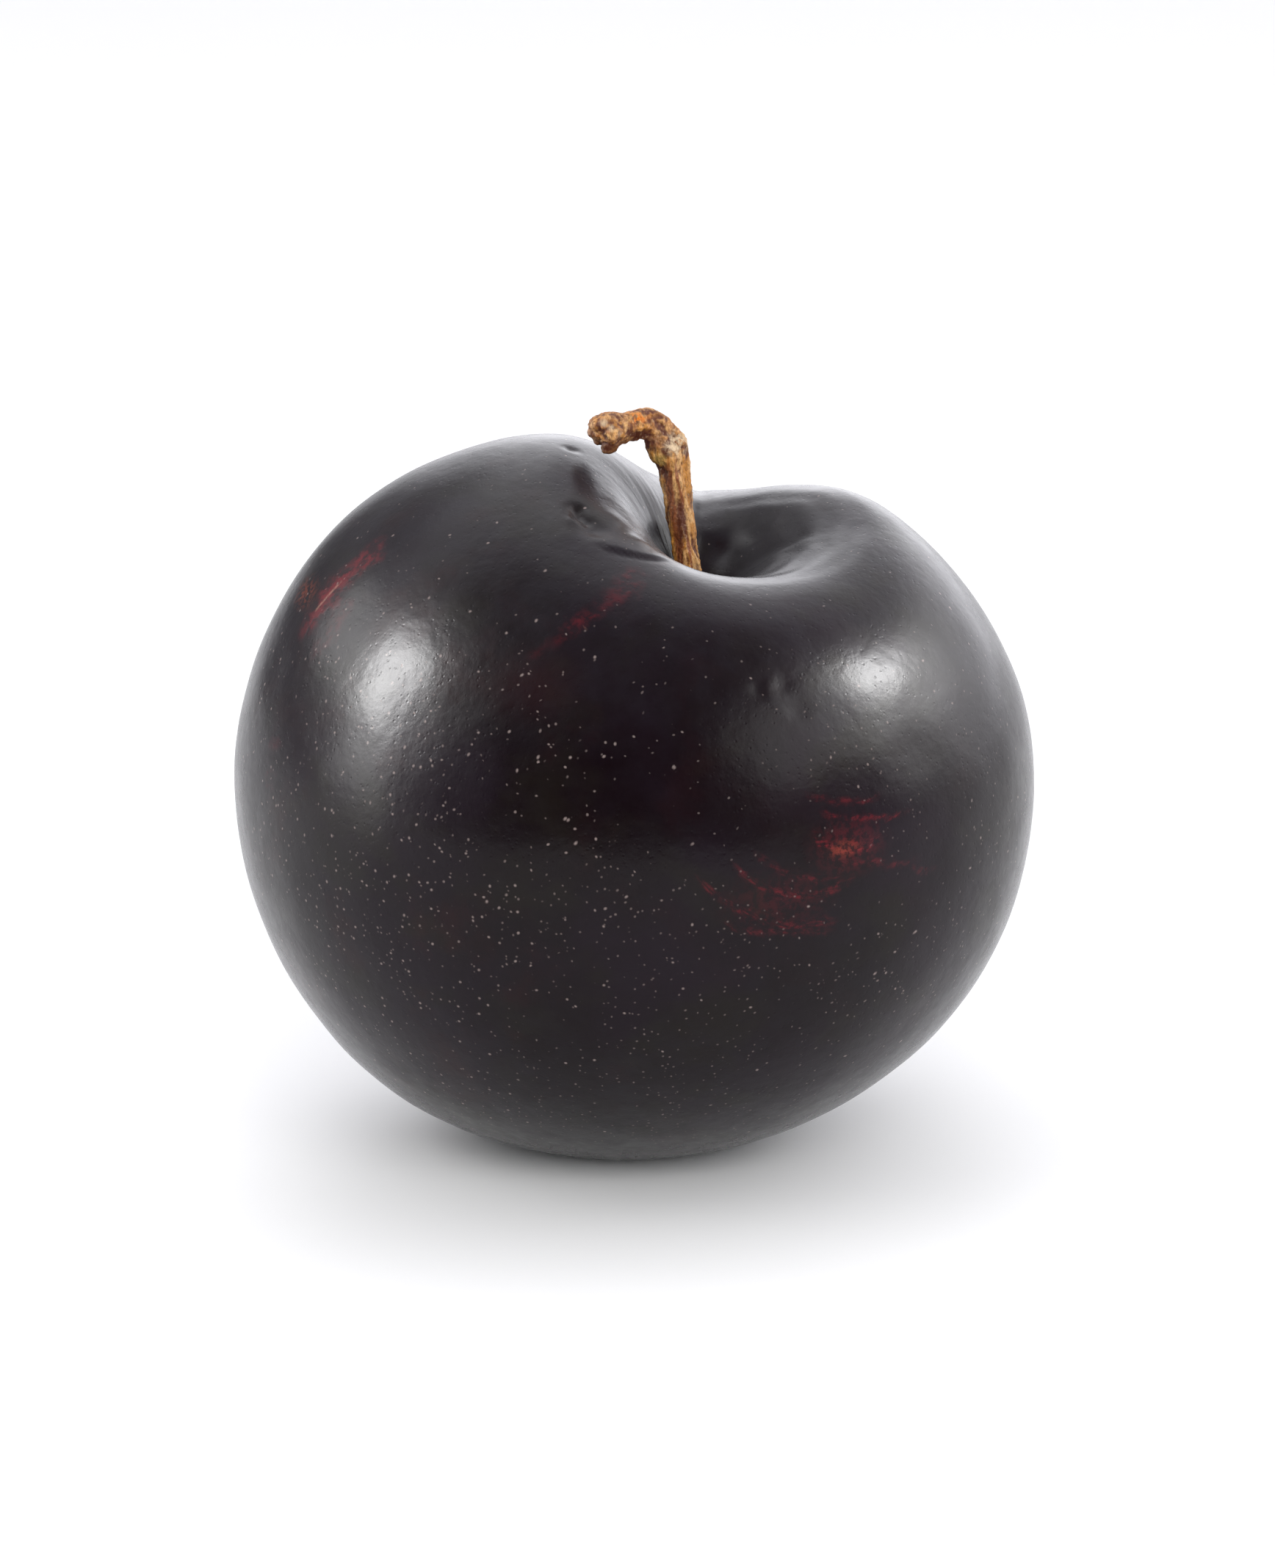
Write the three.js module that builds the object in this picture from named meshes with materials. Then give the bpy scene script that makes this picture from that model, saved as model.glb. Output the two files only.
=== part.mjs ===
// A ripe dark-skinned plum, standing on the small flat spot that its own weight presses into it,
// with the stalk it was picked by. Two grown pieces: the fruit, one solid of flesh and skin, and the
// woody stalk, whose foot stands in the round socket at the bottom of the fruit's stalk cavity.
// Millimetres, +Z up. The origin is the centre of the flat spot, and -Y is the plum's front.
import * as THREE from "three";

// Driving dimensions of the fruit
const WIDTH = 64.6; // left to right, X
const DEPTH = 61.6; // front to back, Y
const HEIGHT = 58.9; // foot to where the crown would be with no cavity
const FOOT_PRESS = 0.42; // how far the round underside is pressed flat
const CROWN = new THREE.Vector3(0.27, -0.11, 1).normalize(); // the stalk end, seen from the middle

// Driving dimensions of the crown. Depths are in mm, and reaches are angles seen from the middle.
const CAVITY = { depth: 10.4, reach: 0.3, steepness: 2.2, rightward: 0.05 };
const CROWN_DIP = { depth: 1.7, reach: 0.5 };
const SADDLE = {
  front: { depth: 2.7, narrowing: 2 },
  back: { depth: 4.1, narrowing: 4 },
  out: 0.36,
  reach: 0.36,
};
const SOCKET = { depth: 1.9, reach: 0.108 };

// Driving dimensions of the seam down the back: a broad groove with a finer crease along it
const SEAM_AZIMUTH = Math.PI / 2;
const GROOVE = { depth: 0.9, reach: 0.3 };
const CREASE = { depth: 0.35, reach: 0.11 };
const SEAM_TOP = 0.35; // where the seam has come in below the crown
const SEAM_FOOT = 0.6; // where it starts to fade above the foot

// The stalk's middle line from the broken end of its hook down to the cavity, and its thickness
const STALK_LINE = [
  { at: [-3.1, -2.3, 59.6], radius: 1.4 },
  { at: [-2.3, -1.9, 60], radius: 1.45 },
  { at: [-1.3, -1.4, 60.1], radius: 1.18 },
  { at: [-0.2, -0.8, 60.3], radius: 1.15 },
  { at: [0.8, -0.4, 60.2], radius: 1.2 },
  { at: [1.7, -0.1, 59.4], radius: 1.32 },
  { at: [2.4, 0, 58], radius: 1.5 }, // the knuckle of the hook
  { at: [2.9, 0, 56.6], radius: 1.25 },
  { at: [3.2, -0.1, 55], radius: 1.08 },
  { at: [3.45, -0.5, 52.7], radius: 1 },
  { at: [3.8, -1, 50.5], radius: 0.9 },
  { at: [4.2, -1.5, 48.4], radius: 0.82 },
];
const STALK_FOOT = { radius: 0.8, gap: 0.85 }; // the gap is to the floor of the socket
const BARK_RIDGES = [
  { count: 5, rise: 0.08, twist: 2.1 },
  { count: 3, rise: 0.05, twist: -5.5 },
  { count: 8, rise: 0.03, twist: 3.4 },
];
const KNOTS = { rise: 0.05, along: 41 };
const SPLINTERS = [
  { count: 3, rise: 0.35 },
  { count: 5, rise: 0.2 },
]; // of the broken end

// Points round each piece and rings along it
const FRUIT_AROUND = 76;
const FRUIT_RINGS = 52;
const STALK_AROUND = 24;
const STALK_RINGS = 58;
const END_RINGS = 3; // rings that close each end of the stalk

const gauss = (x) => Math.exp(-x * x);
const smooth = (x) => THREE.MathUtils.smoothstep(x, 0, 1);

// The fruit is a squat ellipsoid about its middle, with shoulders that swell from it and hollows
// that sink into it. Each entry is a direction from the middle, a rise in mm and a reach.
const MIDDLE = new THREE.Vector3(0, 0, HEIGHT / 2 - FOOT_PRESS);
const SWELLINGS = [
  { towards: new THREE.Vector3(-0.66, 0.08, 0.76), rise: 2.1, reach: 0.6 }, // left shoulder
  { towards: new THREE.Vector3(-0.16, 0, 0.95), rise: 0.9, reach: 0.24 }, // its inner edge
  { towards: new THREE.Vector3(0.36, 0.15, 0.9), rise: 3.5, reach: 0.31 }, // right shoulder
  { towards: new THREE.Vector3(0.25, -0.5, 0.82), rise: 0.8, reach: 0.4 }, // front lip
  { towards: new THREE.Vector3(-0.86, -0.1, 0.25), rise: 0.3, reach: 0.6 }, // left cheek
  { towards: new THREE.Vector3(-0.6, 0, -0.8), rise: 0.9, reach: 0.55 }, // left of the foot
  { towards: new THREE.Vector3(0.85, 0, 0.5), rise: 0.5, reach: 0.45 }, // right cheek
].map((swelling) => ({ ...swelling, towards: swelling.towards.normalize() }));

function ellipsoidRadius(direction) {
  const { x, y, z } = direction;
  return 1 / Math.hypot(x / (WIDTH / 2), y / (DEPTH / 2), z / (HEIGHT / 2));
}

// A funnel that opens wider to the right, in a shallow dip of the whole crown.
function cavityDepth(polar, azimuth) {
  const reach = CAVITY.reach * (1 + CAVITY.rightward * Math.cos(azimuth));
  const funnel = CAVITY.depth * Math.exp(-((polar / reach) ** CAVITY.steepness));
  return funnel + CROWN_DIP.depth * gauss(polar / CROWN_DIP.reach);
}

// The two halves of the crown part in a saddle that runs front to back across the cavity.
function saddleDepth(polar, azimuth) {
  const toBack = Math.sin(azimuth);
  const { depth, narrowing } = toBack > 0 ? SADDLE.back : SADDLE.front;
  const across = Math.abs(toBack) ** narrowing;
  return depth * across * gauss((polar - SADDLE.out) / SADDLE.reach) * smooth(polar / SADDLE.out);
}

// A shallow seam carries on from the saddle down the back of the fruit to the foot.
function seamDepth(polar, azimuth) {
  const away = Math.abs(azimuth - SEAM_AZIMUTH) * Math.sin(polar);
  const fade = smooth(polar / SEAM_TOP) * smooth((Math.PI - polar) / SEAM_FOOT);
  const groove = GROOVE.depth * gauss(away / GROOVE.reach);
  return fade * (groove + CREASE.depth * gauss(away / CREASE.reach));
}

// The socket is a round hole with a flat floor, so its wall stands between two rings.
const socketDepth = (polar) => (polar < SOCKET.reach ? SOCKET.depth : 0);

// The point of the skin that lies at a polar angle from the crown and an azimuth round it. The
// crown leans away from the upright and the foot does not, so the lean fades from top to bottom.
function fruitPoint(polar, azimuth) {
  const lean = new THREE.Quaternion().setFromUnitVectors(new THREE.Vector3(0, 0, 1), CROWN);
  const leanShare = (1 + Math.cos(polar)) / 2;
  const across = Math.sin(polar);
  const direction = new THREE.Vector3(
    across * Math.cos(azimuth),
    across * Math.sin(azimuth),
    Math.cos(polar),
  ).applyQuaternion(new THREE.Quaternion().slerp(lean, leanShare));
  let radius = ellipsoidRadius(direction);
  radius -= cavityDepth(polar, azimuth) + socketDepth(polar);
  radius -= saddleDepth(polar, azimuth) + seamDepth(polar, azimuth);
  const outsideFunnel = smooth(polar / CAVITY.reach);
  for (const { towards, rise, reach } of SWELLINGS) {
    radius += outsideFunnel * rise * gauss(direction.angleTo(towards) / reach);
  }
  const point = direction.multiplyScalar(radius).add(MIDDLE);
  point.z = Math.max(point.z, 0);
  return point;
}

// Rings from the crown to the foot: the socket's floor and wall, then rings that crowd together in
// the cavity, where the fruit bends most.
const SOCKET_RINGS = [0, 0.5, 0.92, 1.08].map((share) => share * SOCKET.reach);
const CROWDING = 1.3;

function ringPolar(ring) {
  if (ring < SOCKET_RINGS.length) return SOCKET_RINGS[ring];
  const last = SOCKET_RINGS.length - 1;
  const share = (ring - last) / (FRUIT_RINGS - last);
  return SOCKET_RINGS[last] + (Math.PI - SOCKET_RINGS[last]) * share ** CROWDING;
}

// Lays each point of a three.js sphere anew, from its ring and its angle round the poles.
function relaidSphere(around, rings, place) {
  const geometry = new THREE.SphereGeometry(1, around, rings);
  const { position, uv } = geometry.attributes;
  for (let i = 0; i < position.count; i++) {
    const ring = Math.round((1 - uv.getY(i)) * rings);
    const azimuth = ((uv.getX(i) * around) % around) * ((2 * Math.PI) / around);
    const point = place(ring, azimuth);
    position.setXYZ(i, point.x, point.y, point.z);
  }
  geometry.computeVertexNormals();
  return geometry;
}

const fruitGeometry = () =>
  relaidSphere(FRUIT_AROUND, FRUIT_RINGS, (ring, azimuth) => fruitPoint(ringPolar(ring), azimuth));

// Bark: ridges that wind slowly round the stalk, and low knots along it, as a share of the radius.
function barkSwell(azimuth, share) {
  let swell = 1 + KNOTS.rise * Math.sin(KNOTS.along * share + Math.cos(azimuth));
  for (const { count, rise, twist } of BARK_RIDGES) {
    swell += rise * Math.cos(count * azimuth + twist * share);
  }
  return swell;
}

const splinterLength = (azimuth) =>
  SPLINTERS.reduce((length, { count, rise }) => length + rise * Math.sin(count * azimuth), 0);

// The stalk enters the socket through the middle of its mouth and ends just clear of its floor.
function stalkGeometry() {
  const socketFloor = fruitPoint(0, 0);
  const mouth = socketFloor.clone().addScaledVector(CROWN, SOCKET.depth);
  const foot = socketFloor.clone().addScaledVector(CROWN, STALK_FOOT.gap);
  const points = STALK_LINE.map(({ at }) => new THREE.Vector3(...at));
  const line = new THREE.CatmullRomCurve3([...points, mouth, foot]);
  const radii = [...STALK_LINE, STALK_FOOT, STALK_FOOT].map(({ radius }) => radius);
  const thickness = new THREE.SplineCurve(radii.map((radius, i) => new THREE.Vector2(i, radius)));
  const steps = STALK_RINGS - 2 * END_RINGS;
  const { tangents, normals, binormals } = line.computeFrenetFrames(steps);

  return relaidSphere(STALK_AROUND, STALK_RINGS, (ring, azimuth) => {
    const step = THREE.MathUtils.clamp(ring - END_RINGS, 0, steps);
    const share = step / steps;
    const closing = Math.min(ring, STALK_RINGS - ring, END_RINGS) / END_RINGS;
    const splinter = ring <= END_RINGS ? splinterLength(azimuth) : 0;
    const radius = thickness.getPoint(line.getUtoTmapping(share)).y * barkSwell(azimuth, share);
    return line
      .getPointAt(share)
      .addScaledVector(binormals[step], closing * radius * Math.cos(azimuth))
      .addScaledVector(normals[step], closing * radius * Math.sin(azimuth))
      .addScaledVector(tangents[step], -closing * splinter);
  });
}

const group = new THREE.Group();

const skin = new THREE.MeshStandardMaterial({ color: 0x241a22, roughness: 0.35, metalness: 0 });
const fruit = new THREE.Mesh(fruitGeometry(), skin);
fruit.name = "fruit";
group.add(fruit);

const bark = new THREE.MeshStandardMaterial({ color: 0xa8672f, roughness: 0.85, metalness: 0 });
const stalk = new THREE.Mesh(stalkGeometry(), bark);
stalk.name = "stalk";
group.add(stalk);

export default group;
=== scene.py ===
import math

import bpy
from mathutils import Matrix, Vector, noise


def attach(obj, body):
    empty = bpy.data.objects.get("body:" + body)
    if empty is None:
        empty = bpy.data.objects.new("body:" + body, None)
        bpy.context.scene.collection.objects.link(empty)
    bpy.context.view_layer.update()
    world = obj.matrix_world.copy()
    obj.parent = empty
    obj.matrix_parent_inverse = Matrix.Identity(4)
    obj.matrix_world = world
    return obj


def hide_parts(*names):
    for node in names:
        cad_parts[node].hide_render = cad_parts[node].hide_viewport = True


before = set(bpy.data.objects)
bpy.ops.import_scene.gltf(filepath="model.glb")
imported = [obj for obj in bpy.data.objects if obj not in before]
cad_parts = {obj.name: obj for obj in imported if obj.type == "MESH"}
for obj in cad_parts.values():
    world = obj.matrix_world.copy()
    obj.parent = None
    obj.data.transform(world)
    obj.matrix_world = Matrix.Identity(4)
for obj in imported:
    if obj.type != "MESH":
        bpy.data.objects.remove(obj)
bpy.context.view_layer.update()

# Fruit: the flesh and skin of a ripe dark plum, grown as one piece round the stalk cavity. It is
# the frame's own shape, smoothed and given the small forms of a grown fruit: streaks down into the
# cavity, a fold where the left shoulder laps the lip, a crease down the back, pits and dents.
MM = 0.001
CROWN_AXIS = Vector((0.27, -0.11, 1)).normalized()
CROWN_REACH = 16  # from the crown's axis, in mm, as far as the cavity's streaks and ripples go
FLESH_MIDDLE = Vector((0, 0, 29.03))
LEFT_FOLDS, LEFT_STREAKS, RIGHT_RIPPLES = 0.13, 0.04, 0.035  # heights in the cavity, in mm
BROAD_SWELL, SMALL_SWELL = 0.16, 0.05  # heights of the uneven growth of the whole fruit, in mm
FOOT_TOP = 1.5  # the flat spot and the skin round it stay as they are below this height, in mm
PITS = (  # place on the skin, depth and reach, in mm. A depth below 0 is a bump.
    ((-4.8, -10.3, 55.6), 0.42, 0.6),
    ((-4.6, -11.1, 55.2), 0.5, 0.55),
    ((-4.0, -11.6, 54.9), 0.3, 0.5),
    ((-5.1, -11.7, 54.9), -0.1, 0.5),
    ((-3.6, -12.4, 54.5), 0.16, 1.0),
    ((-5.3, -1.1, 58.3), 0.22, 0.5),
    ((9.5, -24.7, 44.2), 0.12, 0.6),
    ((10.1, -24.4, 44.3), -0.1, 0.45),
    ((11.4, -23.8, 44.4), 0.07, 0.7),
    ((10.7, -23.8, 44.8), -0.06, 0.5),
    ((12.6, -24.6, 42.6), 0.1, 0.8),
    ((-1.9, -9.6, 54.4), -0.14, 1.3),
    ((0.2, -11.7, 53.1), -0.2, 1.3),
    ((-3.5, -12.6, 54.2), 0.14, 1.2),
    ((-4.7, -22.1, 48.7), 0.07, 0.5),
    ((6.9, 2.0, 49.6), 0.5, 2.4),
    ((1.9, -1.4, 51.0), 0.2, 1.3),
    ((-24.5, -16.0, 38.0), 0.15, 2.2),
    ((-27.5, -8.0, 41.5), 0.2, 2.6),
    ((22.0, -20.0, 38.0), 0.1, 2.4),
    ((18.5, 20.5, 36.0), 0.2, 2.0),
    ((-16.0, 24.0, 32.0), 0.16, 2.6),
    ((27.0, 8.0, 22.0), 0.14, 2.2),
)
FOLD_EDGE = (  # left to right and front to back, in mm: where the left shoulder laps the lip
    (-5.0, -12.6), (-3.6, -14.0), (-2.4, -14.6), (-0.9, -14.7), (0.6, -14.5), (1.7, -14.0), (3.2, -12.9),
)
FOLD_RISE, FOLD_GROOVE = 0.2, 0.05
FOLD_LOWEST = 48  # the same left to right and front to back is met again on the underside
SEAM_LINE = (  # up and left to right, in mm: the middle of the seam down the back
    (2.0, -0.4), (14.8, -1.0), (30.6, 0.1), (42.1, 2.3), (50.8, 4.7), (60.0, 8.0),
)
SEAM_CREASE = 0.17
SEAM_LIP = 0.3 * SEAM_CREASE
BACK_SIDE = 3  # the seam lies further back than this


def along_line(points, value):
    """The second number of a line of points where its first is the value, or None beyond its ends."""
    for (low, at_low), (high, at_high) in zip(points, points[1:]):
        if low <= value < high:
            return at_low + (at_high - at_low) * (value - low) / (high - low)
    return None


def bell(value):
    return math.exp(-value * value)


def smooth_step(value, low, high):
    share = max(0.0, min(1.0, (value - low) / (high - low)))
    return share * share * (3 - 2 * share)


def copy_of_node(name, piece_name):
    """A new object with a merged copy of a node's mesh, in quads."""
    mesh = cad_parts[name].data.copy()
    mesh.name = piece_name
    piece = bpy.data.objects.new(piece_name, mesh)
    bpy.context.scene.collection.objects.link(piece)
    bpy.ops.object.select_all(action="DESELECT")
    piece.select_set(True)
    bpy.context.view_layer.objects.active = piece
    bpy.ops.mesh.customdata_custom_splitnormals_clear()
    bpy.ops.object.mode_set(mode="EDIT")
    bpy.ops.mesh.select_all(action="SELECT")
    bpy.ops.mesh.remove_doubles(threshold=1e-6)
    bpy.ops.mesh.tris_convert_to_quads(face_threshold=math.pi, shape_threshold=math.pi)
    bpy.ops.mesh.mark_sharp(clear=True)
    bpy.ops.object.mode_set(mode="OBJECT")
    piece.data.materials.clear()
    return piece


def subdivide_smoothly(piece, levels):
    smoother = piece.modifiers.new("smoother", "SUBSURF")
    smoother.levels = smoother.render_levels = levels
    bpy.context.view_layer.objects.active = piece
    bpy.ops.object.modifier_apply(modifier=smoother.name)
    piece.data.polygons.foreach_set("use_smooth", [True] * len(piece.data.polygons))
    piece.data.update()


def raise_relief(piece, height_at):
    """Moves each point along its normal by height_at(place), in mm, and returns the heights."""
    vertices = piece.data.vertices
    heights = [height_at(v.co / MM) for v in vertices]
    moved = [v.co + v.normal * height * MM for v, height in zip(vertices, heights)]
    for vertex, place in zip(vertices, moved):
        vertex.co = place
    piece.data.update()
    return heights


def crown_relief(around, away):
    """Folds and streaks down the left wall of the cavity, and ripples round its other walls."""
    leftness = smooth_step(-around.x, -0.35, 0.5)
    fold = noise.noise(around * 3.4 + Vector((0, 0, away * 0.09)))
    streak = noise.noise(around * 13.0 + Vector((4, 0, away * 0.15)))
    streak += 0.6 * noise.noise(around * 26.0 + Vector((1, 2, away * 0.2)))
    left = leftness * bell((away - 5.0) / 4.0) * (LEFT_FOLDS * fold + LEFT_STREAKS * streak)
    ripple = RIGHT_RIPPLES * math.sin(away * 2.6 + 2 * fold)
    return left + (1 - leftness) * bell((away - 8.0) / 4.0) * ripple


def fold_relief(place):
    """The edge of the left shoulder where it laps the front lip, with a fine groove before it."""
    edge = along_line(FOLD_EDGE, place.x)
    if edge is None or place.z <= FOLD_LOWEST or not -1 < place.y - edge < 8:
        return 0.0
    behind = place.y - edge
    ends = smooth_step(place.x, -4.6, -1.0) * (1 - smooth_step(place.x, 1.2, 3.1))
    rise = FOLD_RISE * smooth_step(behind, -0.1, 0.26) * bell(max(0, behind) / 2.4)
    return ends * (rise - FOLD_GROOVE * bell((behind + 0.24) / 0.3))


def seam_relief(place, away):
    """The fine crease along the seam, between two low lips."""
    seam = along_line(SEAM_LINE, place.z)
    if seam is None or place.y <= BACK_SIDE:
        return 0.0
    aside = place.x - seam + 0.5 * noise.noise(Vector((0, 0, place.z * 0.16)))
    ends = smooth_step(place.z, 4, 14) * smooth_step(away, 5, 9)
    lips = SEAM_LIP * bell((abs(aside) - 2.3) / 1.3)
    return ends * (lips - SEAM_CREASE * bell(aside / 0.8))


def fruit_relief(place):
    from_middle = place - FLESH_MIDDLE
    up_axis = from_middle.dot(CROWN_AXIS)
    outward = from_middle - CROWN_AXIS * up_axis
    away = outward.length
    height = fold_relief(place) + seam_relief(place, away)
    if up_axis > 0 and away < CROWN_REACH:
        around = outward.normalized() if away > 0.01 else Vector((0, 0, 0))
        height += crown_relief(around, away)
    if place.z > FOOT_TOP:
        height += BROAD_SWELL * noise.noise(place * 0.075) + SMALL_SWELL * noise.noise(place * 0.23)
    for spot, depth, reach in PITS:
        height -= depth * bell((place - Vector(spot)).length / reach)
    return height


def add_node(tree, kind, inputs=None, **settings):
    """A shader node with its settings, its inputs given as values or as links."""
    made = tree.nodes.new(kind)
    for name, value in settings.items():
        setattr(made, name, value)
    for name, value in (inputs or {}).items():
        if isinstance(value, bpy.types.NodeSocket):
            tree.links.new(value, made.inputs[name])
        else:
            made.inputs[name].default_value = value
    return made


def math_node(tree, operation, first, second=0.5):
    return add_node(tree, "ShaderNodeMath", {0: first, 1: second}, operation=operation).outputs[0]


def vector_node(tree, operation, first, second=(0, 0, 0), output="Vector"):
    """Vector arithmetic. The second operand of SCALE is a number."""
    inputs = {0: first, "Scale" if operation == "SCALE" else 1: second}
    return add_node(tree, "ShaderNodeVectorMath", inputs, operation=operation).outputs[output]


def ramp(tree, value, low, high, to_low=0.0, to_high=1.0):
    """A smooth step of a value, from to_low at low to to_high at high."""
    inputs = {"Value": value, "From Min": low, "From Max": high, "To Min": to_low, "To Max": to_high}
    return add_node(tree, "ShaderNodeMapRange", inputs, interpolation_type="SMOOTHSTEP").outputs[0]


def noise_node(tree, place, scale, detail=2.0, roughness=0.5):
    inputs = {"Vector": place, "Scale": scale, "Detail": detail, "Roughness": roughness}
    return add_node(tree, "ShaderNodeTexNoise", inputs).outputs[0]


def stretched(tree, place, scales):
    """The place scaled along each axis, so that a pattern runs in streaks."""
    return add_node(tree, "ShaderNodeMapping", {"Vector": place, "Scale": scales}).outputs[0]


def near(tree, place, centre, radii, edge):
    """1 near a centre, fading to 0 at an ellipsoid round it, in mm, from edge, a share of the way."""
    offset = vector_node(tree, "SUBTRACT", place, centre)
    scaled = vector_node(tree, "DIVIDE", offset, radii)
    return ramp(tree, vector_node(tree, "LENGTH", scaled, output="Value"), 1.0, edge)


def near_line(tree, place, start, end, radius):
    """1 on a straight line between two points, in mm, fading to 0 at a radius from it."""
    along = Vector(end) - Vector(start)
    to_place = vector_node(tree, "SUBTRACT", place, start)
    share = vector_node(tree, "DOT_PRODUCT", to_place, tuple(along / along.length_squared), "Value")
    share = add_node(tree, "ShaderNodeClamp", {"Value": share}).outputs[0]
    nearest = vector_node(tree, "SCALE", tuple(along), share)
    distance = vector_node(tree, "DISTANCE", to_place, nearest, "Value")
    return ramp(tree, distance, radius, 0.0)


def mix_colour(tree, share, first, second):
    inputs = {0: share, 6: first, 7: second}
    return add_node(tree, "ShaderNodeMix", inputs, data_type="RGBA").outputs[2]


def new_material(name):
    """A material with its shader node, and the place in mm that its patterns read."""
    material = bpy.data.materials.new(name)
    material.use_nodes = True
    tree = material.node_tree
    shader = tree.nodes["Principled BSDF"]
    coordinates = add_node(tree, "ShaderNodeTexCoord")
    in_mm = {"Vector": coordinates.outputs["Object"], "Scale": (1 / MM,) * 3}
    return material, tree, shader, add_node(tree, "ShaderNodeMapping", in_mm).outputs[0]


SKIN_DEEP = (0.0030, 0.0003, 0.0013, 1)
SKIN_PURPLE = (0.0054, 0.0015, 0.0046, 1)
SKIN_BROWN = (0.0060, 0.0036, 0.0024, 1)
SKIN_BLUSH = (0.014, 0.0014, 0.0024, 1)
SKIN_BLOOM_AND_SHEEN = (0.011, 0.0092, 0.0145, 1)
SCUFF_CRIMSON = (0.145, 0.007, 0.013, 1)
SCUFF_ORANGE = (0.28, 0.055, 0.022, 1)
SCUFF_STROKES = (  # from, to, lowest place (x and z), bow, half width and strength, in mm
    (5.0, 15.0, 14.0, 26.0, 0.05, 0.62, 0.55),
    (8.0, 16.5, 13.6, 28.4, 0.08, 0.6, 0.6),
    (9.6, 16.0, 14.6, 29.7, 0.085, 0.6, 0.4),
    (7.2, 14.8, 15.0, 25.3, 0.02, 0.45, 0.36),
    (13.4, 18.6, 17.8, 35.3, 0.05, 0.45, 0.4),
    (14.8, 20.8, 20.2, 33.7, 0.035, 0.4, 0.7),
    (14.0, 18.8, 17.2, 31.7, 0.09, 1.0, 0.95),
    (14.8, 19.6, 20.0, 30.3, 0.03, 0.5, 0.45),
    (16.5, 21.6, 21.3, 29.7, 0.06, 0.5, 0.35),
    (21.8, 23.2, 23.4, 28.6, 0.2, 0.5, 0.4),
)
SCUFF_SMEARS = (  # from, to, radius and strength, in mm
    ((-0.5, -17.0, 51.9), (-1.8, -19.6, 50.7), 1.9, 0.32),
    ((-1.5, -19.2, 50.9), (-3.3, -21.2, 49.7), 1.4, 0.24),
    ((-3.3, -21.2, 49.7), (-6.0, -22.5, 48.3), 1.0, 0.4),
    ((-6.0, -22.5, 48.3), (-8.2, -23.1, 46.9), 1.1, 0.14),
    ((-21.2, -9.0, 51.4), (-24.5, -9.2, 48.3), 1.9, 0.8),
    ((-23.4, -9.2, 49.5), (-26.4, -9.3, 46.0), 2.1, 0.9),
    ((-23.9, -11.8, 47.4), (-25.3, -12.2, 45.0), 1.7, 0.22),
    ((-29.0, -12.0, 36.5), (-29.6, -12.6, 33.6), 1.1, 0.2),
    ((8.0, 27.0, 42.0), (15.0, 25.0, 39.0), 1.7, 0.5),
    ((27.5, 6.0, 36.0), (28.5, 12.0, 33.0), 1.6, 0.4),
)
SCRATCHES = (  # from, to, half width and strength, in mm
    ((-23.8, -9.1, 49.2), (-25.8, -9.1, 46.9), 0.26, 0.6),
    ((-5.0, -21.7, 49.2), (-4.4, -22.0, 49.0), 0.15, 0.3),
    ((-4.4, -22.0, 49.0), (-4.0, -22.4, 48.6), 0.18, 0.6),
)
SCRATCH_CREAM = (0.42, 0.2, 0.15, 1)
SMEAR_DRIFT = 4.0  # how far the smears' outlines wander, in mm
DOT_TAN = (0.36, 0.28, 0.26, 1)
DOT_STRENGTH = 0.58
DOT_OFFSET = (0.35, 0.35, 0.35)  # shifts the pattern, and so picks where the dots fall
LARGE_DOTS_PER_MM, LARGE_DOT_RADIUS = 1.3, 0.145
FINE_DOTS_PER_MM, FINE_DOT_RADIUS = 1.6, 0.11
SCAR_TAN = (0.17, 0.11, 0.07, 1)
WAX_ROUGHNESS, WAX_IOR = 0.265, 1.22
SATIN_IOR, SATIN_SPECULAR = 1.45, 0.06
PORES_PER_MM, PORE_DEPTH, PEEL_HEIGHT = 1.7, 0.007, 0.03


def dots(tree, place, per_mm, radius, presence):
    """Small round dots, each where a cell's point comes close to the skin."""
    inputs = {"Vector": place, "Scale": per_mm, "Randomness": 1.0}
    cells = add_node(tree, "ShaderNodeTexVoronoi", inputs)
    dot = ramp(tree, cells.outputs["Distance"], radius * per_mm * 1.2, radius * per_mm * 0.1)
    drawn = add_node(tree, "ShaderNodeSeparateColor", {"Color": cells.outputs["Color"]})
    there = math_node(tree, "LESS_THAN", drawn.outputs[0], presence)
    return math_node(tree, "MULTIPLY", dot, there)


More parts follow.
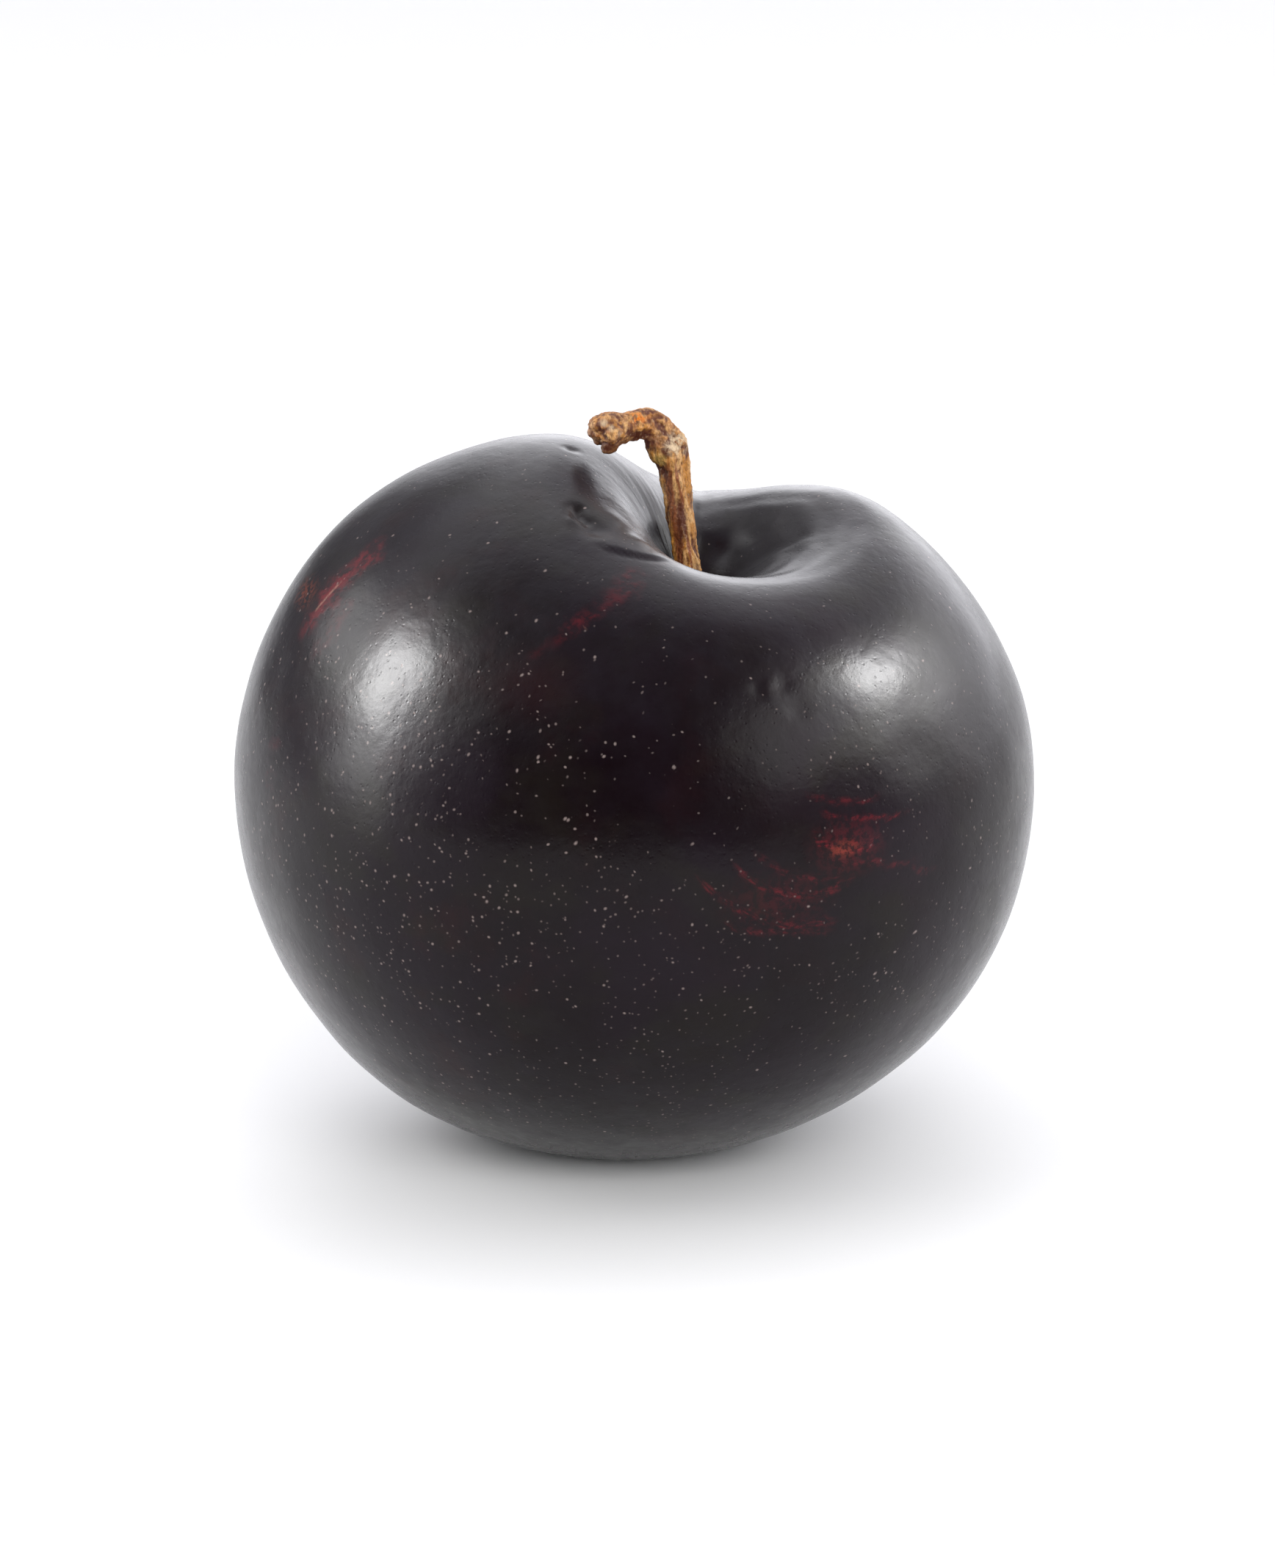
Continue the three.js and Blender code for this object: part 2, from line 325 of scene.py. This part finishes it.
def skin_material():
    material, tree, shader, place = new_material("plum skin")
    axes = add_node(tree, "ShaderNodeSeparateXYZ", {"Vector": place})
    x, z = axes.outputs["X"], axes.outputs["Z"]

    # the dark skin, with a red blush that shows most on the left, and the thin waxy bloom; the bloom is
    # thicker high up and low down, a painted sheen of the lit ceiling and floor
    broad = noise_node(tree, place, 0.07, 4.0)
    tone = mix_colour(tree, ramp(tree, broad, 0.4, 0.65), SKIN_DEEP, SKIN_PURPLE)
    clouds = noise_node(tree, stretched(tree, place, (0.12, 0.12, 0.17)), 1.0, 4.0)
    brownish = ramp(tree, clouds, 0.5, 0.68)
    tone = mix_colour(tree, math_node(tree, "MULTIPLY", brownish, 0.8), tone, SKIN_BROWN)
    patches = ramp(tree, noise_node(tree, place, 0.16, 5.0, 0.6), 0.5, 0.75)
    leftward = ramp(tree, x, 14.0, -22.0, 0.12, 0.6)
    blush = math_node(tree, "MULTIPLY", patches, leftward)
    front_blush = near(tree, place, (-8.4, -24.2, 44.6), (6.0, 6.0, 4.0), 0.0)
    blush = math_node(tree, "MAXIMUM", blush, math_node(tree, "MULTIPLY", front_blush, 0.6))
    tone = mix_colour(tree, blush, tone, SKIN_BLUSH)
    mottle = ramp(tree, noise_node(tree, place, 0.35, 6.0, 0.62), 0.38, 0.7, 0.05, 0.32)
    # painted sheen: the bloom is laid on more thickly high up and low down, where the skin mirrors the
    # lit ceiling and floor
    high_sheen = ramp(tree, z, 36.0, 52.0, 0.3, 1.0)
    high_and_low_sheen = math_node(tree, "MAXIMUM", high_sheen, ramp(tree, z, 26.0, 10.0, 0.3, 0.8))
    bloom_and_sheen = math_node(tree, "MULTIPLY", mottle, high_and_low_sheen)
    tone = mix_colour(tree, bloom_and_sheen, tone, SKIN_BLOOM_AND_SHEEN)

    # scuffs where the bloom and the dark skin are brushed off, in short bowed strokes
    wobble = math_node(tree, "SUBTRACT", noise_node(tree, place, 0.7, 3.0), 0.5)
    bowed = math_node(tree, "MULTIPLY", math_node(tree, "SUBTRACT", x, 15.0), 0.24)
    bowed = math_node(tree, "SUBTRACT", z, math_node(tree, "MULTIPLY", bowed, bowed))
    along_strokes = add_node(tree, "ShaderNodeCombineXYZ", {"X": x, "Y": 0.0, "Z": bowed}).outputs[0]
    hairs = noise_node(tree, stretched(tree, along_strokes, (0.7, 0.3, 2.8)), 1.0, 3.0, 0.6)
    hairs = ramp(tree, hairs, 0.38, 0.64, 0.16, 1.0)
    broken = ramp(tree, noise_node(tree, place, 1.7, 4.0, 0.65), 0.4, 0.6, 0.12, 1.0)
    at_front = math_node(tree, "LESS_THAN", axes.outputs["Y"], 0.0)
    strokes = 0.0
    for start, end, lowest_x, lowest_z, bow, width, strength in SCUFF_STROKES:
        offset = math_node(tree, "SUBTRACT", x, lowest_x)
        rise = math_node(tree, "MULTIPLY", math_node(tree, "MULTIPLY", offset, offset), bow)
        line = math_node(tree, "SUBTRACT", math_node(tree, "SUBTRACT", z, lowest_z), rise)
        line = math_node(tree, "ABSOLUTE", math_node(tree, "ADD", line, wobble))
        stroke = ramp(tree, line, width, 0.0, 0.0, strength)
        stroke = math_node(tree, "MULTIPLY", stroke, ramp(tree, x, start - 0.8, start + 0.8))
        stroke = math_node(tree, "MULTIPLY", stroke, ramp(tree, x, end + 1.2, end - 1.2))
        strokes = math_node(tree, "MAXIMUM", strokes, stroke)
    strokes = math_node(tree, "MULTIPLY", math_node(tree, "MULTIPLY", strokes, hairs), broken)
    worn = near(tree, place, (16.6, -26.2, 32.0), (4.4, 5.0, 3.2), 0.0)
    worn = math_node(tree, "MULTIPLY", math_node(tree, "MULTIPLY", worn, broken), 0.34)
    rubbed = near(tree, place, (11.0, -28.6, 28.2), (6.4, 5.0, 3.4), 0.0)
    rubbed = math_node(tree, "MULTIPLY", math_node(tree, "MULTIPLY", rubbed, broken), 0.16)
    scuff = math_node(tree, "MAXIMUM", strokes, math_node(tree, "MAXIMUM", worn, rubbed))
    scuff = math_node(tree, "MULTIPLY", scuff, at_front)

    # smears with outlines that wander, an orange core at the left and at the right, and scratches
    soft = ramp(tree, noise_node(tree, place, 0.9, 5.0, 0.65), 0.4, 0.62, 0.1, 1.0)
    drift_noise = {"Vector": place, "Scale": 0.28, "Detail": 3.0}
    drift = add_node(tree, "ShaderNodeTexNoise", drift_noise).outputs["Color"]
    drift = vector_node(tree, "SUBTRACT", drift, (0.5, 0.5, 0.5))
    drifted = vector_node(tree, "ADD", place, vector_node(tree, "SCALE", drift, SMEAR_DRIFT))
    for start, end, radius, most in SCUFF_SMEARS:
        smear = math_node(tree, "MULTIPLY", near_line(tree, drifted, start, end, radius), soft)
        scuff = math_node(tree, "MAXIMUM", scuff, math_node(tree, "MULTIPLY", smear, most))
    bruise = near(tree, place, (-26.6, -5.4, 47.4), (2.2, 3.4, 1.8), 0.1)
    crumbly = ramp(tree, noise_node(tree, place, 2.3, 3.0), 0.42, 0.6)
    bruised = math_node(tree, "MULTIPLY", bruise, crumbly)
    core = near(tree, place, (16.2, -26.5, 31.8), (2.0, 3.0, 1.0), 0.0)
    cored = math_node(tree, "MULTIPLY", core, broken)
    orange = math_node(tree, "MULTIPLY", math_node(tree, "MAXIMUM", bruised, cored), 0.38)
    tone = mix_colour(tree, scuff, tone, SCUFF_CRIMSON)
    tone = mix_colour(tree, orange, tone, SCUFF_ORANGE)
    grazed = ramp(tree, noise_node(tree, place, 2.2, 2.0), 0.36, 0.56, 0.25, 1.0)
    for start, end, radius, most in SCRATCHES:
        scratch = math_node(tree, "MULTIPLY", near_line(tree, place, start, end, radius), grazed)
        tone = mix_colour(tree, math_node(tree, "MULTIPLY", scratch, most), tone, SCRATCH_CREAM)

    # lenticels: larger pale dots, thickest on the left, and fine ones, thickest low down
    wander = noise_node(tree, place, 0.8, 0.0)
    jitter = math_node(tree, "MULTIPLY", math_node(tree, "SUBTRACT", wander, 0.5), 0.5)
    shifted = vector_node(tree, "ADD", vector_node(tree, "ADD", place, DOT_OFFSET), jitter)
    clumps = ramp(tree, noise_node(tree, place, 0.12, 3.0), 0.36, 0.62, 0.35, 1.1)
    below_crown = ramp(tree, z, 53.0, 44.0, 0.1, 1.0)
    large_there = math_node(tree, "MULTIPLY", below_crown, ramp(tree, x, 6.0, -14.0, 0.13, 0.9))
    large_there = math_node(tree, "MULTIPLY", large_there, ramp(tree, z, 12.0, 30.0, 0.3, 1.0))
    large_there = math_node(tree, "MULTIPLY", large_there, clumps)
    fine_there = math_node(tree, "MULTIPLY", ramp(tree, z, 50.0, 18.0, 0.2, 1.0), clumps)
    low_scuff = near(tree, place, (11.5, -28.5, 27.6), (6.0, 5.0, 3.0), 0.3)
    fine_there = math_node(tree, "ADD", fine_there, math_node(tree, "MULTIPLY", low_scuff, 0.5))
    large = dots(tree, shifted, LARGE_DOTS_PER_MM, LARGE_DOT_RADIUS, large_there)
    fine = dots(tree, shifted, FINE_DOTS_PER_MM, FINE_DOT_RADIUS, fine_there)
    lenticel = math_node(tree, "MAXIMUM", large, math_node(tree, "MULTIPLY", fine, 0.5))
    tone = mix_colour(tree, math_node(tree, "MULTIPLY", lenticel, DOT_STRENGTH), tone, DOT_TAN)

    # the small scar of the blossom, in the middle of the flat spot
    scar = near(tree, place, (0, 0, 0), (1.5, 1.5, 1.0), 0.4)
    tone = mix_colour(tree, scar, tone, SCAR_TAN)
    tree.links.new(tone, shader.inputs["Base Color"])

    # the sheen of wax: a satin ground under a smoother, thin top layer
    satin = ramp(tree, noise_node(tree, place, 0.5, 4.0, 0.6), 0.3, 0.7, 0.36, 0.47)
    rough = math_node(tree, "ADD", satin, math_node(tree, "MULTIPLY", lenticel, 0.2))
    rough = math_node(tree, "ADD", rough, math_node(tree, "MULTIPLY", scuff, 0.06))
    tree.links.new(rough, shader.inputs["Roughness"])
    shader.inputs["IOR"].default_value = SATIN_IOR
    shader.inputs["Specular IOR Level"].default_value = SATIN_SPECULAR
    shader.inputs["Coat Weight"].default_value = 1.0
    shader.inputs["Coat Roughness"].default_value = WAX_ROUGHNESS
    shader.inputs["Coat IOR"].default_value = WAX_IOR

    # fine relief: pores and an uneven peel
    pore_cells = {"Vector": place, "Scale": PORES_PER_MM, "Randomness": 1.0}
    pores = add_node(tree, "ShaderNodeTexVoronoi", pore_cells).outputs["Distance"]
    relief = ramp(tree, pores, 0.06, 0.26, -PORE_DEPTH, 0.0)
    peel = math_node(tree, "MULTIPLY", noise_node(tree, place, 0.9, 3.0, 0.55), PEEL_HEIGHT)
    relief = math_node(tree, "ADD", relief, peel)
    bump = add_node(tree, "ShaderNodeBump", {"Height": relief, "Distance": MM, "Strength": 1.0})
    tree.links.new(bump.outputs[0], shader.inputs["Normal"])
    tree.links.new(bump.outputs[0], shader.inputs["Coat Normal"])
    return material


skin = copy_of_node("fruit", "plum_skin")
subdivide_smoothly(skin, 2)
raise_relief(skin, fruit_relief)
skin.data.materials.append(skin_material())
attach(skin, "root")
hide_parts("fruit")

# Stalk: the dry woody stem that the fruit hung by, with long ridges of bark down its shaft, a
# scaly knuckle where it bends, and a rough end where it broke from the twig.
KNUCKLE, KNUCKLE_REACH = Vector((2.5, 0, 57.9)), 2.0
BROKEN_END, BROKEN_REACH = Vector((-3.4, -2.2, 59.6)), 1.6
SPIKE, SPIKE_REACH, SPIKE_RISE = Vector((-4.5, -2.6, 60.3)), 0.45, 0.55
SHAFT_RIDGES, ARM_RIDGES, FINE_RIDGES = 0.15, 0.1, 0.055  # heights of the bark, in mm
SHAFT_GRAIN, ARM_GRAIN, FINE_GRAIN = 0.05, 0.1, 0.045


def ridged(place):
    return 1 - 2 * abs(noise.noise(place))


def bark_relief(place):
    arm = smooth_step(place.z, 57.2, 59.4)
    down_shaft = Vector((place.x * 1.5 + place.z * 0.2, place.y * 1.5, place.z * 0.16))
    along_arm = Vector((place.x * 0.42, place.y * 1.1, place.z * 1.1 + 7))
    height = (1 - arm) * SHAFT_RIDGES + arm * ARM_RIDGES
    height *= (1 - arm) * ridged(down_shaft) + arm * ridged(along_arm)
    fine = Vector((place.x * 3.6 + 3, place.y * 3.6 + 1, place.z * 0.7))
    height += FINE_RIDGES * (1 - arm) * ridged(fine)
    height += ((1 - arm) * SHAFT_GRAIN + arm * ARM_GRAIN) * noise.noise(place * 3.1)
    height += FINE_GRAIN * noise.noise(place * 5.6)
    lumps = 0.42 * noise.noise(place * 0.95 + Vector((0, 5, 0))) + 0.12 * noise.noise(place * 2.4)
    height += bell((place - KNUCKLE).length / KNUCKLE_REACH) * lumps
    splinters = 0.34 * noise.noise(place * 1.5) + 0.2 * ridged(place * 2.6)
    splinters += 0.12 * noise.noise(place * 5)
    height += bell((place - BROKEN_END).length / BROKEN_REACH) * splinters
    return height + SPIKE_RISE * bell((place - SPIKE).length / SPIKE_REACH)


BARK_DARK = (0.105, 0.026, 0.010, 1)
BARK_CORNER_SHADE = (0.15, 0.045, 0.045, 1)
BARK_MOSS = (0.58, 0.38, 0.10, 1)
FIBRE_RED = (0.19, 0.045, 0.03, 1)
FIBRE_PALE = (0.72, 0.42, 0.26, 1)
BARK_RED = (0.30, 0.085, 0.028, 1)
BARK_OCHRE = (0.60, 0.255, 0.045, 1)
BARK_TAN = (0.74, 0.415, 0.155, 1)
BARK_PALE = (0.76, 0.57, 0.36, 1)
BARK_ORANGE = (0.92, 0.26, 0.02, 1)


def bark_material():
    material, tree, shader, place = new_material("plum stalk bark")
    axes = add_node(tree, "ShaderNodeSeparateXYZ", {"Vector": place})
    x, z = axes.outputs["X"], axes.outputs["Z"]
    arm = ramp(tree, z, 57.4, 59.2)
    shaft_streaks = noise_node(tree, stretched(tree, place, (1.9, 1.9, 0.28)), 1.0, 5.0, 0.62)
    arm_streaks = noise_node(tree, stretched(tree, place, (0.9, 1.5, 1.5)), 1.0, 5.0, 0.62)
    streaks = add_node(tree, "ShaderNodeMix", {0: arm, 2: shaft_streaks, 3: arm_streaks}).outputs[0]
    height = add_node(tree, "ShaderNodeAttribute", attribute_name="bark_height").outputs["Fac"]

    # the shaft, from left to right: a pale edge, a dark red flank, a ridge, a furrow, a light edge; the
    # flank down the left side and the furrow are darkened towards red as painted shade, over the bark's
    # own red
    lean = math_node(tree, "SUBTRACT", math_node(tree, "MULTIPLY", z, 0.15), 11.4)
    across = math_node(tree, "ADD", x, lean)
    wander = math_node(tree, "MULTIPLY", math_node(tree, "SUBTRACT", streaks, 0.5), 0.9)
    across = math_node(tree, "ADD", across, wander)
    shaded_flank = math_node(tree, "MULTIPLY", ramp(tree, across, -1.05, -0.7), ramp(tree, across, -0.05, -0.3))
    shaded_furrow = math_node(tree, "MULTIPLY", ramp(tree, across, 0.12, 0.26), ramp(tree, across, 0.5, 0.36))
    shade_bands = math_node(tree, "MAXIMUM", shaded_flank, shaded_furrow)
    shade_bands = math_node(tree, "MULTIPLY", shade_bands, ramp(tree, z, 58.2, 56.4))
    base = mix_colour(tree, ramp(tree, streaks, 0.4, 0.58), BARK_OCHRE, BARK_TAN)
    tone = mix_colour(tree, math_node(tree, "MULTIPLY", shade_bands, 0.95), base, BARK_RED)
    patchy = ramp(tree, noise_node(tree, place, 1.7, 5.0, 0.7), 0.46, 0.58)
    arm_red = math_node(tree, "MULTIPLY", math_node(tree, "MULTIPLY", arm, patchy), 0.6)
    tone = mix_colour(tree, arm_red, tone, BARK_RED)
    # painted shade: the low places of the bark's relief are darkened
    tone = mix_colour(tree, ramp(tree, height, 0.3, 0.55), BARK_DARK, tone)

    # painted shade darkens the arm's underside and the corner under the knuckle; its top is ochre and
    # orange
    underside_shade = math_node(tree, "MULTIPLY", ramp(tree, z, 59.7, 58.9), ramp(tree, x, 0.9, 0.2))
    tone = mix_colour(tree, math_node(tree, "MULTIPLY", underside_shade, 0.8), tone, BARK_DARK)
    corner_shade = near(tree, place, (1.1, -1.0, 59.0), (1.1, 1.6, 1.0), 0.2)
    tone = mix_colour(tree, math_node(tree, "MULTIPLY", corner_shade, 0.65), tone, BARK_CORNER_SHADE)
    top_at = near(tree, place, (-0.2, -0.9, 61.3), (2.6, 1.8, 0.9), 0.2)
    flecks = ramp(tree, noise_node(tree, place, 1.7, 4.0, 0.6), 0.42, 0.56)
    tone = mix_colour(tree, math_node(tree, "MULTIPLY", top_at, flecks), tone, BARK_OCHRE)
    orange_at = near(tree, place, (0.0, -1.4, 60.9), (1.3, 1.3, 0.7), 0.1)
    tone = mix_colour(tree, math_node(tree, "MULTIPLY", orange_at, flecks), tone, BARK_ORANGE)

    # pale scaly bark on the knuckle, and a pale streak across the block at the hook's end
    scaly = near(tree, place, (3.2, -1.0, 58.6), (1.5, 2.0, 1.3), 0.3)
    flakes = ramp(tree, noise_node(tree, place, 1.5, 4.0, 0.6), 0.38, 0.52)
    tone = mix_colour(tree, math_node(tree, "MULTIPLY", scaly, flakes), tone, BARK_PALE)
    lump = near(tree, place, (1.8, -1.2, 57.4), (0.8, 1.2, 0.8), 0.3)
    tone = mix_colour(tree, math_node(tree, "MULTIPLY", lump, 0.8), tone, BARK_MOSS)
    for share in (0.0, 0.5, 1.0):
        centre = Vector((-2.7, -3.2, 60.9)).lerp(Vector((-1.6, -2.7, 59.9)), share)
        streak = near(tree, place, tuple(centre), (0.45, 0.9, 0.5), 0.2)
        tone = mix_colour(tree, math_node(tree, "MULTIPLY", streak, 0.75), tone, BARK_PALE)

    # the broken end: coarse fibres, red-brown and pale, with dark gaps between them
    end_at = near(tree, place, (-4.4, -2.4, 59.4), (1.3, 2.4, 2.4), 0.35)
    fibres = ramp(tree, noise_node(tree, place, 2.9, 3.0), 0.38, 0.6)
    end_tone = mix_colour(tree, fibres, FIBRE_RED, FIBRE_PALE)
    tone = mix_colour(tree, end_at, tone, end_tone)

    # the grain of dry wood over all of it, in its colour, its gloss and its fine relief
    grain = noise_node(tree, stretched(tree, place, (5.0, 5.0, 2.2)), 1.0, 5.0, 0.68)
    tone = mix_colour(tree, ramp(tree, grain, 0.46, 0.66, 0.0, 0.6), tone, BARK_DARK)
    tone = mix_colour(tree, ramp(tree, grain, 0.44, 0.3, 0.0, 0.35), tone, BARK_PALE)
    tree.links.new(tone, shader.inputs["Base Color"])
    tree.links.new(ramp(tree, grain, 0.3, 0.7, 0.6, 0.85), shader.inputs["Roughness"])
    shader.inputs["IOR"].default_value = 1.4
    relief = math_node(tree, "MULTIPLY", noise_node(tree, place, 6.0, 4.0, 0.6), 0.09)
    relief = math_node(tree, "ADD", relief, math_node(tree, "MULTIPLY", grain, 0.1))
    bump = add_node(tree, "ShaderNodeBump", {"Height": relief, "Distance": MM, "Strength": 1.0})
    tree.links.new(bump.outputs[0], shader.inputs["Normal"])
    return material


stalk = copy_of_node("stalk", "plum_stalk")
subdivide_smoothly(stalk, 2)
bark_heights = raise_relief(stalk, bark_relief)
lowest, highest = min(bark_heights), max(bark_heights)
shares = [(height - lowest) / (highest - lowest) for height in bark_heights]
stalk.data.attributes.new("bark_height", "FLOAT", "POINT").data.foreach_set("value", shares)
stalk.data.materials.append(bark_material())
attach(stalk, "root")
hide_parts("stalk")

# Studio: a white paper floor in a room that is bright behind and dark in front, as the gloss of
# the skin mirrors it. Soft lights at the left and right show in the gloss alone and make its two
# highlights and the sheen round them, and wide fills, which it doesn't mirror, bring out colours.
FLOOR_SIZE = 8
PAPER_WHITE = (0.86, 0.86, 0.86, 1)
bpy.ops.object.select_all(action="DESELECT")
bpy.ops.mesh.primitive_plane_add(size=FLOOR_SIZE, location=(0, 0, 0))
floor = bpy.context.object
floor.name = "studio_floor"
paper, tree, shader, place = new_material("studio paper")
shader.inputs["Base Color"].default_value = PAPER_WHITE
shader.inputs["Roughness"].default_value = 0.85
shader.inputs["Specular IOR Level"].default_value = 0.2
floor.data.materials.append(paper)

WHITE = (1.0, 1.0, 1.0, 1)
ROOM_LIT = (2.67, 2.67, 2.8)
ROOM_DARK = (0.03, 0.03, 0.035)
ROOM_STRENGTH = 0.95
WINDOW_EXTRA = 0.15  # how much brighter than the back of the room its middle is
CEILING_SHARE = 0.19  # of the brightness of the back
LOW_LEFT_SHADE, LEFT_BACK_SHADE, HIGH_RIGHT_SHADE = 0.95, 0.84, 0.45  # shares of light taken away
room = bpy.data.worlds.new("studio room")
room.use_nodes = True
bpy.context.scene.world = room
tree = room.node_tree
direction = add_node(tree, "ShaderNodeTexCoord").outputs["Generated"]
split = add_node(tree, "ShaderNodeSeparateXYZ", {"Vector": direction})
to_right, to_back, upward = split.outputs["X"], split.outputs["Y"], split.outputs["Z"]
window = ramp(tree, to_back, 0.8, 0.97, 0.0, WINDOW_EXTRA)
window = math_node(tree, "MULTIPLY", window, ramp(tree, upward, 0.02, 0.2))
back_wall = math_node(tree, "ADD", ramp(tree, to_back, -0.15, 0.6), window)
ceiling = ramp(tree, upward, 0.5, 0.95, 0.0, CEILING_SHARE)
low_left = ramp(tree, to_right, 0.05, -0.35, 0.0, LOW_LEFT_SHADE)
low_left = math_node(tree, "MULTIPLY", low_left, ramp(tree, upward, 0.24, 0.52, 1.0, 0.0))
high_right = ramp(tree, to_right, 0.0, 0.25, 0.0, HIGH_RIGHT_SHADE)
high_right = math_node(tree, "MULTIPLY", high_right, ramp(tree, upward, 0.42, 0.6))
left_back = ramp(tree, to_right, -0.08, -0.33, 0.0, LEFT_BACK_SHADE)
left_back = math_node(tree, "MULTIPLY", left_back, ramp(tree, to_back, 0.25, 0.5))
left_back = math_node(tree, "MULTIPLY", left_back, ramp(tree, upward, 0.82, 0.62))
shade = math_node(tree, "MAXIMUM", math_node(tree, "MAXIMUM", low_left, high_right), left_back)
lit = math_node(tree, "MAXIMUM", back_wall, ceiling)
lit = math_node(tree, "MULTIPLY", lit, math_node(tree, "SUBTRACT", 1.0, shade))
walls = vector_node(tree, "ADD", vector_node(tree, "SCALE", ROOM_LIT, lit), ROOM_DARK)
seen = add_node(tree, "ShaderNodeLightPath").outputs["Is Camera Ray"]
walls = mix_colour(tree, seen, walls, WHITE)
tree.links.new(walls, tree.nodes["Background"].inputs["Color"])
tree.nodes["Background"].inputs["Strength"].default_value = ROOM_STRENGTH

AIM = Vector((0, 0, 0.030))  # the lights and the camera face this point
GLOSS_DISTANCE = 0.75
GLOSS_LIGHTS = (  # name, direction from the fruit, width and height in m, and power in W
    ("left_lamp", (-0.858, -0.085, 0.515), 0.15, 0.27, 9.5),
    ("left_softbox", (-0.89, -0.08, 0.40), 0.28, 0.56, 3.2),
    ("left_reflector", (-0.91, -0.22, 0.12), 0.24, 0.34, 1.1),
    ("right_lamp", (0.815, 0.07, 0.585), 0.16, 0.16, 6.3),
    ("right_softbox", (0.84, -0.02, 0.50), 0.40, 0.36, 1.2),
    ("right_panel", (0.80, -0.17, 0.52), 1.25, 0.36, 5.3),
    ("right_reflector", (0.95, 0.05, 0.25), 0.5, 0.24, 1.0),
    ("left_panel", (-0.82, 0.34, 0.44), 0.24, 0.24, 0.9),
)
FILL_LIGHTS = (  # name, direction from the fruit, distance, width and height in m, and power in W
    ("overhead_fill", (0.1, -0.1, 1.0), 1.2, 1.5, 1.5, 4.4),
    ("left_fill", (-0.8, -0.3, 0.55), 1.0, 0.7, 0.7, 2.5),
    ("front_fill", (0.3, -1.0, 0.45), 0.95, 0.9, 0.5, 6),
    ("floor_fill", (0.1, -1.0, 0.5), 0.8, 1.2, 0.6, 3.5),
)


def soft_light(name, towards, distance, width, height, power, gloss=True, diffuse=True):
    """A soft rectangular light that faces the fruit from a direction."""
    lamp = bpy.data.lights.new(name, "AREA")
    lamp.shape = "RECTANGLE"
    lamp.size, lamp.size_y, lamp.energy = width, height, power
    light = bpy.data.objects.new(name, lamp)
    bpy.context.scene.collection.objects.link(light)
    offset = Vector(towards).normalized() * distance
    light.location = AIM + offset
    light.rotation_euler = (-offset).to_track_quat("-Z", "Y").to_euler()
    light.visible_camera = False
    light.visible_glossy, light.visible_diffuse = gloss, diffuse
    return light


for name, towards, width, height, power in GLOSS_LIGHTS:
    soft_light(name, towards, GLOSS_DISTANCE, width, height, power, diffuse=False)
fills = {}
for name, towards, distance, width, height, power in FILL_LIGHTS:
    fills[name] = soft_light(name, towards, distance, width, height, power, gloss=False)

# the floor's own fill lights nothing but the floor
floor_only = bpy.data.collections.new("floor_only")
floor_only.objects.link(floor)
fills["floor_fill"].light_linking.receiver_collection = floor_only

# Camera: a long lens at the height of a seated viewer, looking slightly down on the fruit. The
# picture has the shape of the photo.
ELEVATION = math.radians(15)
CAMERA_DISTANCE = 0.70
PICTURE_WIDTH_PX, PICTURE_HEIGHT_PX = 1736, 2135
SEEN_WIDTH = 0.104  # what the picture's width takes in at the fruit
lens_camera = bpy.data.cameras.new("camera")
camera = bpy.data.objects.new("camera", lens_camera)
bpy.context.scene.collection.objects.link(camera)
to_viewer = Vector((0, -math.cos(ELEVATION), math.sin(ELEVATION)))
camera.location = AIM + to_viewer * CAMERA_DISTANCE
camera.rotation_euler = (-to_viewer).to_track_quat("-Z", "Y").to_euler()
seen_height = SEEN_WIDTH * PICTURE_HEIGHT_PX / PICTURE_WIDTH_PX
lens_camera.lens = lens_camera.sensor_width * CAMERA_DISTANCE / seen_height
lens_camera.clip_start = 0.01
bpy.context.scene.camera = camera
bpy.context.scene.view_settings.view_transform = "Standard"
